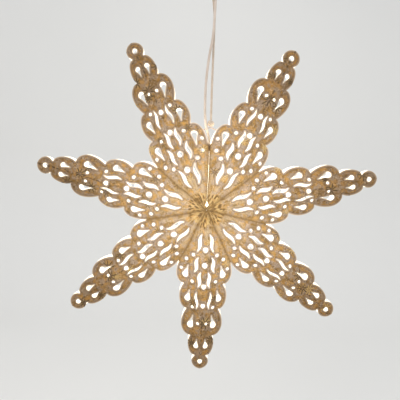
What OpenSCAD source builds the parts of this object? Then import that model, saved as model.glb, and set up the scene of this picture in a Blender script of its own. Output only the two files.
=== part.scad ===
// Seven-pointed folded paper star with its cord set, hung from a ceiling cup.
// Frame: millimetres, origin in the middle of the face that meets the ceiling,
// +Z up, the front of the star towards -Y.

/* [Star] */
// From the middle of the star to the end of each point
star_r = 300; // [260:5:340]
// From the ceiling down to the middle of the star
star_drop = 400; // [390:5:480]
// Height of the front's middle over the star's middle plane
star_h = 75; // [66:1:90]
// Height of the crease over the middle plane at the end of a point
tip_h = 6; // [4:0.5:12]
// Fall of each half petal per millimetre away from its crease
side_fall = 0.445; // [0.36:0.005:0.47]
// Angle left open between the first and the last point
seam_angle = 3.2; // [3:0.1:6]
// Half width of a petal at its widest scallop
petal_w = 49.5; // [46:0.5:54]
// From the middle of the star to the notch between two points
notch_r = 105; // [98:1:112]
// Thickness of the paper
paper_t = 0.5; // [0.3:0.1:0.8]
// Width of the band by which two points are glued
glue_w = 13; // [8:1:18]
// Radius cut away where all the creases meet
centre_r = 2.5; // [2:0.5:5]
// Radius of the round end of each point
tip_r = 14; // [11:0.5:17]
// Radius of the largest round cut-outs
dot_r = 4.5; // [3.5:0.1:5.2]
// Radius of the small round cut-outs
pip_r = 2.8; // [2:0.1:3.4]
// Radius of the round end of the drop cut-outs
drop_r = 5; // [3.5:0.1:5.8]
// Half width of the leaf cut-outs
leaf_w = 3.4; // [2.6:0.1:4.6]

/* [Lamp] */
// Diameter of the bulb's globe
globe_d = 45; // [38:1:60]
// Height of the globe's middle over the star's middle
globe_z = -4; // [-10:1:6]
// Length of the bulb from the globe's lowest point to its contact
bulb_l = 70; // [66:1:84]
// Diameter of the bulb's metal cap
cap_d = 13.2; // [12.6:0.1:13.4]
// Length of the bulb's metal cap
cap_l = 19; // [16:1:22]
// Outer diameter of the lamp holder
holder_d = 28; // [25:0.5:34]
// Length of the lamp holder's skirt
skirt_l = 34; // [30:1:38]
// Height of the lamp holder's domed cap
dome_h = 14; // [10:1:18]
// Wall of the lamp holder
holder_wall = 1.8; // [1.2:0.1:2.4]
// Inner diameter of the threaded sleeve
sleeve_d = 14; // [13.8:0.1:15]
// Wall of the threaded sleeve
sleeve_wall = 0.5; // [0.3:0.1:0.8]

/* [Cords] */
// Diameter of the lamp cord
cord_d = 4.2; // [3.2:0.1:4.4]
// Diameter of the hanging cord
hanger_d = 4; // [3:0.1:4.4]
// Diameter of the thin tie between the two upper points
tie_d = 1.6; // [1:0.1:2]
// Diameter of the tie's two end knots
tie_knot_d = 7; // [6.4:0.1:9]
// Diameter of the round knot on the hanging cord
knot_d = 12; // [9:0.5:14]
// Height of the round knot's middle over the star's middle
knot_z = 139; // [134:1:148]

/* [Ceiling cup] */
// Outer diameter of the ceiling cup
cup_d = 76; // [64:1:90]
// Height of the ceiling cup
cup_h = 26; // [22:1:30]
// Wall of the ceiling cup
cup_wall = 2; // [1.4:0.1:3]
// Diameter of the cord grip's body
grip_d = 12; // [10:0.5:16]
// Length of the cord grip below the cup
grip_l = 9; // [6:0.5:9]
// Distance of the hanging cord from the lamp cord at the cup
hanger_gap = 13; // [12:0.5:16]
// Diameter of the knot that holds the hanging cord in the cup
stop_d = 11; // [9:0.5:12]
// Width of the fixing bar
bar_w = 14; // [12:0.5:18]
// Thickness of the fixing bar
bar_t = 1.5; // [1:0.1:2.5]
// Length of the bar's turned down ears
ear_l = 12; // [10:0.5:14]
// Distance between the two ceiling screw holes
screw_pitch = 46; // [40:1:50]
// Diameter of the ceiling screw holes
screw_hole_d = 4.5; // [3.5:0.1:6]
// Diameter of the two screws that hold the cup to the bar
side_screw_d = 3; // [2.5:0.1:4]
// Height of the terminal block
block_h = 11; // [8:0.5:12]

/* [Hidden] */
point_count = 7;
step_angle = (360 - seam_angle) / point_count;
half_angle = step_angle / 2;
clear = 0.3;

// Slopes of a half petal: along the crease and away from it
run_fall = (star_h - tip_h) / star_r;
len_s = sqrt(1 + run_fall * run_fall);
len_n = sqrt(1 + run_fall * run_fall + side_fall * side_fall);
// A place over the middle plane, laid out on the flat half petal
function flat(p) = [len_s * p[0] + run_fall * side_fall / len_s * p[1], len_n / len_s * p[1]];
half_petal_frame = [
    [1 / len_s, -run_fall * side_fall / (len_s * len_n), run_fall / len_n, 0],
    [0, len_s / len_n, side_fall / len_n, 0],
    [-run_fall / len_s, -side_fall / (len_s * len_n), 1 / len_n, star_h],
    [0, 0, 0, 1]];

// Each scallop: where it is widest, how wide, where it ends, how wide there.
// Lengths are shares of star_r and widths are shares of petal_w.
scallops = [
    [0.393, 1.00, 0.463, 0.72],
    [0.537, 0.86, 0.620, 0.58],
    [0.713, 0.74, 0.787, 0.39],
    [0.830, 0.46, 0.913, 0.21]];
arc_steps = 5;
// Round cut-outs on the crease, as shares of star_r, with their radius
crease_dots = [
    [0.237, dot_r], [0.330, dot_r], [0.460, 0.95 * dot_r], [0.582, 0.9 * dot_r]];
// Small round cut-outs: share of star_r, share of petal_w
pips = [[0.271, 0.416], [0.298, 0.653], [0.360, 0.824], [0.438, 0.418], [0.600, 0.364], [0.701, 0.15]];
// Drops: thin end, then the middle of the round end, then the share of drop_r
drops = [
    [[0.339, 0.582], [0.400, 0.673], 1.00],
    [[0.497, 0.495], [0.550, 0.564], 0.95],
    [[0.653, 0.329], [0.717, 0.412], 1.05],
    [[0.806, 0.149], [0.850, 0.172], 0.84]];
// Leaves: inner end, outer end, share of leaf_w
leaves = [
    [[0.150, 0.145], [0.244, 0.275], 1.00],
    [[0.285, 0.238], [0.377, 0.352], 1.00],
    [[0.372, 0.130], [0.472, 0.210], 1.00],
    [[0.503, 0.245], [0.607, 0.225], 0.70]];
leaf_steps = 5;
leaf_bend = 1.4;
// Over 1 for slimmer ends
leaf_slim = 1.2;

function spot(share) = [share[0] * star_r, share[1] * petal_w];
function unit(v) = v / norm(v);
function left_of(v) = [-v[1], v[0]];

// Outline of one scallop from the end of the one before
function scallop(from, s) =
    let (peak = [s[0] * star_r, s[1] * petal_w], end = [s[2] * star_r, s[3] * petal_w])
    concat(
        [for (i = [0 : arc_steps - 1]) let (k = 1 - i / arc_steps)
            [peak[0] + (from[0] - peak[0]) * k, peak[1] + (from[1] - peak[1]) * k * k]],
        [for (i = [0 : arc_steps - 1]) let (a = 90 * i / arc_steps)
            [peak[0] + (end[0] - peak[0]) * sin(a), end[1] + (peak[1] - end[1]) * cos(a)]]);

notch = [notch_r * cos(half_angle), notch_r * sin(half_angle)];
tip_u = star_r - tip_r;
last_end = scallops[len(scallops) - 1];
function reversed(list) = [for (i = [len(list) - 1 : -1 : 0]) list[i]];
petal_outline = reversed(concat(
    [[centre_r, 0], [centre_r, centre_r * tan(half_angle)]],
    scallop(notch, scallops[0]),
    [for (i = [1 : len(scallops) - 1]) each
        scallop([scallops[i - 1][2] * star_r, scallops[i - 1][3] * petal_w], scallops[i])],
    [spot([last_end[2], last_end[3]]), [tip_u, last_end[3] * petal_w], [tip_u, 0]]));

module drop_shape(from, to, r) {
    reach = norm(to - from);
    ahead = (to - from) / reach;
    lean = asin(r / reach);
    side = cos(lean) * left_of(ahead);
    touch = to - sin(lean) * r * ahead;
    union() {
        translate(to) circle(r, $fn = 32);
        polygon([from, touch - side * r, touch + side * r]);
    }
}

// A leaf is pointed at both ends and bends to an S along its length
function leaf_spine(from, to, t) =
    from + (to - from) * t + left_of(unit(to - from)) * leaf_bend * sin(360 * t);
module leaf_shape(from, to, w) {
    across = left_of(unit(to - from));
    polygon(concat(
        [for (i = [0 : leaf_steps]) let (t = i / leaf_steps)
            leaf_spine(from, to, t) - across * w * pow(sin(180 * t), leaf_slim)],
        [for (i = [1 : leaf_steps - 1]) let (t = 1 - i / leaf_steps)
            leaf_spine(from, to, t) + across * w * pow(sin(180 * t), leaf_slim)]));
}

module half_petal_flat() {
    difference() {
        union() {
            polygon([for (p = petal_outline) flat(p)]);
            intersection() {
                translate(flat([tip_u, 0])) circle(tip_r, $fn = 48);
                translate(flat([tip_u - tip_r, 0])) square([3 * tip_r, 2 * tip_r]);
            }
        }
        for (d = crease_dots) translate(flat([d[0] * star_r, 0])) circle(d[1], $fn = 32);
        translate(flat([tip_u, 0])) circle(dot_r, $fn = 32);
        for (p = pips) translate(flat(spot(p))) circle(pip_r, $fn = 24);
        for (d = drops) drop_shape(flat(spot(d[0])), flat(spot(d[1])), drop_r * d[2]);
        for (l = leaves) leaf_shape(flat(spot(l[0])), flat(spot(l[1])), leaf_w * l[2]);
    }
}

module half_petal() {
    multmatrix(half_petal_frame)
        translate([0, 0, -paper_t]) linear_extrude(paper_t) half_petal_flat();
}

// The wall between two points, glued to its neighbour: a band under each valley
// and one across the notch, open towards the lamp
valley_fall = (run_fall + side_fall * tan(half_angle)) * cos(half_angle);
function valley_h(r) = star_h - valley_fall * r;
// The wall ends in the middle of the petals' paper and just before the notch
function wall_h(r) = valley_h(r) - paper_t / 2;
band_h = glue_w * sqrt(1 + valley_fall * valley_fall);
module wall_flat() {
    inner = notch_r - glue_w;
    outer = notch_r - paper_t;
    difference() {
        polygon([[centre_r, -wall_h(centre_r)], [outer, -wall_h(outer)],
            [outer, wall_h(outer)], [centre_r, wall_h(centre_r)]]);
        polygon([[-glue_w, band_h - valley_h(-glue_w)], [inner, band_h - valley_h(inner)],
            [inner, valley_h(inner) - band_h], [-glue_w, valley_h(-glue_w) - band_h]]);
    }
}
module wall() {
    rotate([0, 0, half_angle]) rotate([90, 0, 0]) linear_extrude(paper_t) wall_flat();
}

// One point: front and back petals, each folded along its crease, and two walls
module star_point() {
    for (side = [0, 1]) mirror([0, side, 0]) {
        half_petal();
        mirror([0, 0, 1]) half_petal();
        wall();
    }
}

// The points are counted clockwise from the open seam at the top
function point_angle(k) = 90 - seam_angle / 2 - (k - 0.5) * step_angle;
module place_point(k) {
    translate([0, 0, -star_drop]) rotate([90, 0, 0]) rotate([0, 0, point_angle(k)]) star_point();
}
module point(k) {
    color("#c9a267") place_point(k);
}

// Lamp, hung upside down from its cord in the middle of the star
bulb_top = globe_z - globe_d / 2 + bulb_l;
cap_low = bulb_top - cap_l;
contact_h = 2;
neck_d = cap_d + 2;
module at_lamp(z) {
    translate([0, 0, z - star_drop]) children();
}
module bulb() {
    color("#fff4d8") at_lamp(0) union() {
        translate([0, 0, globe_z]) sphere(d = globe_d, $fn = 64);
        translate([0, 0, globe_z]) cylinder(d1 = 0.86 * globe_d, d2 = neck_d, h = cap_low - globe_z, $fn = 64);
        translate([0, 0, cap_low]) cylinder(d = cap_d, h = cap_l - contact_h, $fn = 48);
        translate([0, 0, cap_low]) cylinder(d1 = cap_d, d2 = 0.5 * cap_d, h = cap_l, $fn = 48);
    }
}

// The holder's parts stack upwards from the end of the bulb's cap
core_z = bulb_top + 2.5;
core_h = 8;
skirt_low = core_z + core_h - skirt_l;
skirt_top = core_z + core_h;
holder_bore = holder_d - 2 * holder_wall;
module holder_skirt() {
    color("white") at_lamp(skirt_low) difference() {
        cylinder(d = holder_d, h = skirt_l, $fn = 64);
        translate([0, 0, -1]) cylinder(d = holder_bore, h = skirt_l + 2, $fn = 64);
    }
}
cord_bore = cord_d + 0.4;
module holder_dome() {
    neck = 0.45 * holder_d;
    color("white") at_lamp(skirt_top) difference() {
        union() {
            cylinder(d = holder_d, h = 0.4 * dome_h, $fn = 64);
            cylinder(d1 = holder_d, d2 = neck, h = dome_h, $fn = 64);
        }
        translate([0, 0, -1]) cylinder(d = cord_bore, h = dome_h + 2, $fn = 32);
        translate([0, 0, -1]) cylinder(d = holder_bore, h = 1 + 0.3 * dome_h, $fn = 64);
    }
}
module holder_core() {
    color("ivory") at_lamp(core_z) difference() {
        cylinder(d = holder_bore - 2 * clear, h = core_h, $fn = 64);
        translate([0, 0, -1]) cylinder(d = contact_d, h = contact_t + 1, $fn = 32);
        translate([0, 0, -1]) cylinder(d = cord_bore, h = core_h + 2, $fn = 32);
    }
}
contact_d = 8;
contact_t = 1.2;
module centre_contact() {
    color("#c8a050") at_lamp(bulb_top + clear)
        cylinder(d = cap_d / 2, h = core_z + contact_t - bulb_top - clear, $fn = 32);
}
sleeve_l = cap_l - 2;
module screw_sleeve() {
    color("#c8a050") at_lamp(core_z - sleeve_l) difference() {
        union() {
            cylinder(d = sleeve_d + 2 * sleeve_wall, h = sleeve_l, $fn = 48);
            translate([0, 0, sleeve_l - sleeve_wall])
                cylinder(d = holder_bore - 2 * clear, h = sleeve_wall, $fn = 48);
        }
        translate([0, 0, -1]) cylinder(d = sleeve_d, h = sleeve_l + 2, $fn = 48);
    }
}

// Cords: routes in millimetres from the middle of the star
lamp_route = [[0, 0, 58], [0, 0, 80], [0, 0, 96], [0, 0, 110], [-2.5, -1, 121], [-6.2, -2, 134],
    [-9, -3, 152], [-10, -4, 176], [-9.9, -4.5, 205], [-8.3, -5, 232], [-5.4, -5.2, 258],
    [-2.2, -5.2, 278], [-0.6, -5.2, 298], [0, -5.2, 320], [0.1, -4.6, 338], [0, -2, 352],
    [0, -0.3, 362], [0, 0, 370], [0, 0, 381]];
hanger_route = [[1.5, 0, knot_z + knot_d / 2], [1.2, 0, 166], [0.8, 0, 190], [0.6, 0, 218], [0.6, 0, 246],
    [0.4, 0, 274], [0.3, 0, 302], [-0.8, 0, 326], [-3.6, 0, 345], [-7.4, 0, 358],
    [-11.6, 0, 367], [-13, 0, 373], [-13, 0, 376]];
tie_z = knot_z - knot_d / 2 - tie_d / 2 - clear;
tie_route = [[-41.9, 33.8, 125.7], [-40.4, 31.8, 126.3], [-37, 28.4, 126.9], [-30, 22.6, 127.8], [-20, 14.8, 129.2],
    [-10, 7.2, 130.5], [-3, 1.5, tie_z - 0.2], [1.5, 0, tie_z], [6, 2.5, tie_z - 0.4], [13, 8.4, 130.3], [22, 16, 129],
    [31, 23.4, 127.8], [37, 28.4, 126.9], [40.4, 31.8, 126.3], [41.9, 33.8, 125.7]];

// A tube swept along a route, with rings every `gap` and `sides` sides.
// Catmull-Rom curves run through the route's points.
function knot_at(p, i) =
    i < 0 ? 2 * p[0] - p[1] : i >= len(p) ? 2 * p[len(p) - 1] - p[len(p) - 2] : p[i];
function curve(p, i, t) =
    let (a = knot_at(p, i - 1), b = p[i], c = knot_at(p, i + 1), d = knot_at(p, i + 2))
    0.5 * (2 * b + (c - a) * t + (2 * a - 5 * b + 4 * c - d) * t * t + (3 * b - a - 3 * c + d) * t * t * t);
function finer(p, gap) = concat(
    [for (i = [0 : len(p) - 2]) let (n = max(1, round(norm(p[i + 1] - p[i]) / gap)))
        for (k = [0 : n - 1]) curve(p, i, k / n)], [p[len(p) - 1]]);
function heading(p, i) = unit(knot_at(p, i + 1) - knot_at(p, i - 1));
module tube(route, d, gap, sides = 8) {
    p = finer(route, gap);
    rings = [for (i = [0 : len(p) - 1])
        let (ahead = heading(p, i), out = unit(cross(ahead, [0, 1, 0.001])), over = cross(ahead, out))
        for (k = [0 : sides - 1]) let (a = 360 * k / sides) p[i] + d / 2 * (cos(a) * out + sin(a) * over)];
    last = sides * (len(p) - 1);
    translate([0, 0, -star_drop]) polyhedron(rings, concat(
        [[for (k = [0 : sides - 1]) k]],
        [for (i = [0 : len(p) - 2]) for (k = [0 : sides - 1]) let (n = (k + 1) % sides)
            [i * sides + k, (i + 1) * sides + k, (i + 1) * sides + n, i * sides + n]],
        [[for (k = [sides - 1 : -1 : 0]) last + k]]));
}
ring_gap = 10;
module lamp_cord() {
    color("#e8e0cf") tube(lamp_route, cord_d, ring_gap);
}
module hanger_cord() {
    color("#e8e0cf") tube(hanger_route, hanger_d, ring_gap);
}
module tie_thread() {
    color("#e8e0cf") tube(tie_route, tie_d, ring_gap / 2);
}
module hanger_knot() {
    color("#e8e0cf") at_lamp(knot_z) translate([hanger_route[0][0], 0, 0])
        sphere(d = knot_d, $fn = 32);
}

// Ceiling cup, its cord grip and nut, and what is inside
cup_floor = -cup_h + cup_wall;
cup_lean = 0.15;
function cup_outer_r(z) = cup_d / 2 + cup_lean * z;
function cup_inner_r(z) = cup_outer_r(z) - cup_wall;
module ceiling_cup() {
    color("white") difference() {
        translate([0, 0, -cup_h]) cylinder(r1 = cup_outer_r(-cup_h), r2 = cup_outer_r(0), h = cup_h, $fn = 96);
        translate([0, 0, cup_floor])
            cylinder(r1 = cup_inner_r(cup_floor), r2 = cup_inner_r(1), h = 1 - cup_floor, $fn = 96);
        translate([0, 0, -cup_h - 1]) cylinder(d = thread_d + 2 * clear, h = cup_wall + 2, $fn = 32);
        translate([-hanger_gap, 0, -cup_h - 1]) cylinder(d = hanger_d + 1, h = cup_wall + 2, $fn = 32);
        for (m = [0, 1]) mirror([m, 0, 0]) translate([cup_d / 4, 0, screw_z])
            rotate([0, 90, 0]) cylinder(d = side_screw_d + 2 * clear, h = cup_d, $fn = 24);
    }
}
thread_d = grip_d - 3;
nut_h = 4;
nut_gap = 0.2;
grip_top = cup_floor + nut_h + 1;
module cord_grip() {
    color("white") translate([0, 0, -cup_h]) difference() {
        union() {
            translate([0, 0, -grip_l]) cylinder(d1 = 0.7 * grip_d, d2 = grip_d, h = grip_l, $fn = 48);
            cylinder(d = thread_d, h = grip_top + cup_h, $fn = 48);
        }
        translate([0, 0, -grip_l - 1]) cylinder(d = cord_bore, h = grip_l + grip_top + cup_h + 2, $fn = 32);
    }
}
module grip_nut() {
    color("white") translate([0, 0, cup_floor]) difference() {
        cylinder(d = grip_d + 1, h = nut_h, $fn = 6);
        translate([0, 0, -1]) cylinder(d = thread_d + nut_gap, h = nut_h + 2, $fn = 32);
    }
}
module stop_knot() {
    color("#e8e0cf") translate([-hanger_gap, 0, cup_floor]) intersection() {
        translate([0, 0, 0.4 * stop_d]) sphere(d = stop_d, $fn = 32);
        cylinder(d = 2 * stop_d, h = stop_d, $fn = 32);
    }
}
module tie_knots() {
    seat = sqrt(pow(tie_knot_d / 2, 2) - pow(pip_r, 2));
    hole = flat(spot(pips[tie_pip]));
    color("#e8e0cf") for (k = [1, point_count]) translate([0, 0, -star_drop])
        rotate([90, 0, 0]) rotate([0, 0, point_angle(k)])
            mirror([0, 0, 1]) mirror([0, k == 1 ? 0 : 1, 0]) multmatrix(half_petal_frame)
                translate([hole[0], hole[1], seat + clear]) sphere(d = tie_knot_d, $fn = 32);
}
tie_pip = 3;
block_l = 24;
block_w = 13;
screw_bore = 3;
wire_bore = 3.4;
module terminal_block() {
    color("white") translate([-block_w / 2, -block_l / 2, grip_top]) difference() {
        cube([block_w, block_l, block_h]);
        for (i = [0, 1]) translate([0, (0.2 + 0.6 * i) * block_l, block_h / 2]) {
            translate([-1, 0, 0]) rotate([0, 90, 0]) cylinder(d = wire_bore, h = block_w + 2, $fn = 24);
            translate([block_w / 2, 0, 0]) cylinder(d = screw_bore, h = block_h, $fn = 24);
        }
    }
}

// Bar screwed to the ceiling, with two turned down ears that hold the cup
screw_z = -ear_l / 2 - bar_t;
bar_l = 2 * (sqrt(pow(cup_inner_r(-ear_l - bar_t), 2) - pow(bar_w / 2, 2)) - clear);
module fixing_bar() {
    color("silver") difference() {
        union() {
            translate([-bar_l / 2, -bar_w / 2, -bar_t]) cube([bar_l, bar_w, bar_t]);
            for (m = [0, 1]) mirror([m, 0, 0])
                translate([bar_l / 2 - bar_t, -bar_w / 2, -bar_t - ear_l]) cube([bar_t, bar_w, ear_l + bar_t]);
        }
        for (m = [0, 1]) mirror([m, 0, 0]) {
            translate([screw_pitch / 2, 0, -bar_t - 1]) cylinder(d = screw_hole_d, h = bar_t + 2, $fn = 32);
            translate([bar_l / 4, 0, screw_z]) rotate([0, 90, 0]) cylinder(d = side_screw_d + 0.1, h = bar_l, $fn = 24);
        }
    }
}
module cup_screws() {
    inner_end = bar_l / 2 - 2 * bar_t;
    head_x = cup_outer_r(screw_z + side_screw_d) + 0.1;
    color("silver") for (m = [0, 1]) mirror([m, 0, 0]) translate([inner_end, 0, screw_z])
        rotate([0, 90, 0]) {
            cylinder(d = side_screw_d, h = head_x - inner_end, $fn = 24);
            translate([0, 0, head_x - inner_end]) cylinder(d = 2 * side_screw_d, h = screw_head_h, $fn = 32);
        }
}
screw_head_h = 1.6;

point(1);  // point_1
point(2);  // point_2
point(3);  // point_3
point(4);  // point_4
point(5);  // point_5
point(6);  // point_6
point(7);  // point_7
bulb();
holder_skirt();
holder_dome();
holder_core();
screw_sleeve();
centre_contact();
lamp_cord();
hanger_cord();
hanger_knot();
tie_thread();
tie_knots();
stop_knot();
ceiling_cup();
cord_grip();
grip_nut();
terminal_block();
fixing_bar();
cup_screws();
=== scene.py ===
import bpy
import numpy as np
from math import asin, cos, degrees, pi, radians, sin, sqrt, tan
from mathutils import Euler, Matrix, Quaternion, Vector
from mathutils.geometry import delaunay_2d_cdt


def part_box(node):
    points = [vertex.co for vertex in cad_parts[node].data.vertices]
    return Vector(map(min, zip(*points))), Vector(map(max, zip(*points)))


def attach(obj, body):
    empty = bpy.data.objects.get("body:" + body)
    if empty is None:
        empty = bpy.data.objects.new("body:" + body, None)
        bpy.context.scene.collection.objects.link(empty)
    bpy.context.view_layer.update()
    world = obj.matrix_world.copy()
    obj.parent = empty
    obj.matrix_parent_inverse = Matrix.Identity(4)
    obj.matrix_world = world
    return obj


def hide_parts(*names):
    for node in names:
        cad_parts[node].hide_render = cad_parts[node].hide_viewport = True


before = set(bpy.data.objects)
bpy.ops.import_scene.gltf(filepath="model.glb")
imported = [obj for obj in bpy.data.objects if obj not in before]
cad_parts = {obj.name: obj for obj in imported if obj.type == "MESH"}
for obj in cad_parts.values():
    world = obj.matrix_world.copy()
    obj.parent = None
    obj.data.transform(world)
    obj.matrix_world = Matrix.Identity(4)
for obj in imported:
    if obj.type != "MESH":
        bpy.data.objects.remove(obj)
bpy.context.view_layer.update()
sceneRoot = bpy.context.scene.collection
mm = 0.001
starDrop = 400.0   # from the ceiling down to the middle of the star
print("CAD frame loaded")

# Camera at the photograph's viewing angle
shot = {"place": (-0.0252, -0.8453, -0.3068), "target": (-0.0115, 0.0, -0.3946), "lens": 43.5, "roll": 2.47}
camera = bpy.data.objects.new("camera", bpy.data.cameras.new("camera"))
sceneRoot.objects.link(camera)
camera.data.lens = shot["lens"]
camera.data.sensor_width = 36
camera.data.clip_start = 0.01
camera.location = shot["place"]
camera.rotation_mode = "QUATERNION"
aim = (Vector(shot["target"]) - Vector(shot["place"])).to_track_quat("-Z", "Y")
camera.rotation_quaternion = aim @ Quaternion((0, 0, 1), radians(shot["roll"]))
bpy.context.scene.camera = camera
print("camera placed")


# Node helpers, for shader and geometry trees alike
def put(tree, socket, value):
    if isinstance(value, bpy.types.NodeSocket):
        tree.links.new(value, socket)
    elif value is not None:
        socket.default_value = value


def addNode(tree, kind, inputs=None, **settings):
    node = tree.nodes.new(kind)
    for key, value in settings.items():
        setattr(node, key, value)
    for key, value in (inputs or {}).items():
        if isinstance(key, str):
            key = next(k for k, socket in enumerate(node.inputs) if socket.name == key and socket.enabled)
        put(tree, node.inputs[key], value)
    return node


def calc(tree, operation, *values):
    node = addNode(tree, "ShaderNodeMath", operation=operation)
    for socket, value in zip(node.inputs, values):
        put(tree, socket, value)
    return node.outputs[0]


def times(tree, *values):
    return calc(tree, "MULTIPLY", *values)


def plus(tree, *values):
    return calc(tree, "ADD", *values)


def minus(tree, *values):
    return calc(tree, "SUBTRACT", *values)


def vectorCalc(tree, operation, *values, scale=None):
    node = addNode(tree, "ShaderNodeVectorMath", operation=operation)
    for socket, value in zip(node.inputs, values):
        put(tree, socket, value)
    if scale is not None:
        put(tree, node.inputs["Scale"], scale)
    return node.outputs["Value" if operation in ("LENGTH", "DISTANCE", "DOT_PRODUCT") else "Vector"]


def reachOf(tree, vector):
    return vectorCalc(tree, "LENGTH", vector)


def combined(tree, x=None, y=None, z=None):
    return addNode(tree, "ShaderNodeCombineXYZ", {0: x, 1: y, 2: z}).outputs[0]


def parted(tree, vector, kind="XYZ"):
    return addNode(tree, "ShaderNodeSeparate" + kind, {0: vector}).outputs


def fade(tree, value, low, high, start=0.0, end=1.0):
    node = addNode(tree, "ShaderNodeMapRange", interpolation_type="SMOOTHSTEP")
    for index, part in enumerate((value, low, high, start, end)):
        put(tree, node.inputs[index], part)
    return node.outputs[0]


def mixColour(tree, factor, first, second, blend="MIX"):
    node = addNode(tree, "ShaderNodeMix", data_type="RGBA", blend_type=blend)
    for index, part in ((0, factor), (6, first), (7, second)):
        put(tree, node.inputs[index], part)
    return node.outputs[2]


def noise(tree, place, scale, detail=3.0, rough=0.5):
    return addNode(tree, "ShaderNodeTexNoise",
        {"Vector": place, "Scale": scale, "Detail": detail, "Roughness": rough}).outputs["Fac"]


def tint(red, green, blue):   # a screen colour, 0 to 255, as the linear one that Blender mixes
    return tuple((c / 255 / 12.92) if c < 10.3 else ((c / 255 + 0.055) / 1.055) ** 2.4 for c in (red, green, blue)) + (1.0,)


def newMaterial(name, **constants):
    material = bpy.data.materials.new(name)
    material.use_nodes = True
    shader = material.node_tree.nodes["Principled BSDF"]
    for key, value in constants.items():
        shader.inputs[key.replace("_", " ")].default_value = value
    return material, material.node_tree, shader


def wire(shader, **values):
    for key, value in values.items():
        put(shader.id_data, shader.inputs[key.replace("_", " ")], value)


def addBump(tree, shader, height, strength, distance):
    bump = addNode(tree, "ShaderNodeBump", {"Height": height, "Strength": strength, "Distance": distance})
    wire(shader, Normal=bump.outputs["Normal"])


def objectPlace(tree):
    return addNode(tree, "ShaderNodeTexCoord").outputs["Object"]


def readAttribute(tree, name, output="Fac"):
    return addNode(tree, "ShaderNodeAttribute", attribute_name=name).outputs[output]


# Printed paper: screen colours, then widths of bands, lines and strokes in millimetres. Some colours also carry painted
# light and shade: the glow streaks near the middle, the lit cut edge, the valley shade and the darker ends
printed = {
    "gold": (184, 138, 72), "deepGold": (134, 101, 54), "halo": (160, 139, 121), "line": (78, 60, 42), "paleLineAndLitEdge": (222, 204, 180),
    "streakGlowCream": (180, 154, 118), "stroke": (72, 52, 29), "lightStroke": (196, 164, 108), "valley": (98, 73, 40),
    "haloWidth": 2.9, "lineWidth": 0.7, "rimWidth": 3.3, "flowerSize": 11.5, "flowerSpread": 38.0, "flowerStrokes": 8.0,
    "strokeWidth": 1.6, "rosetteSize": 30.0, "glow": (0.95, 1.0, 1.04), "glowMost": 0.92, "paintedEndShade": (0.9, 0.84, 0.72),
}


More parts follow.
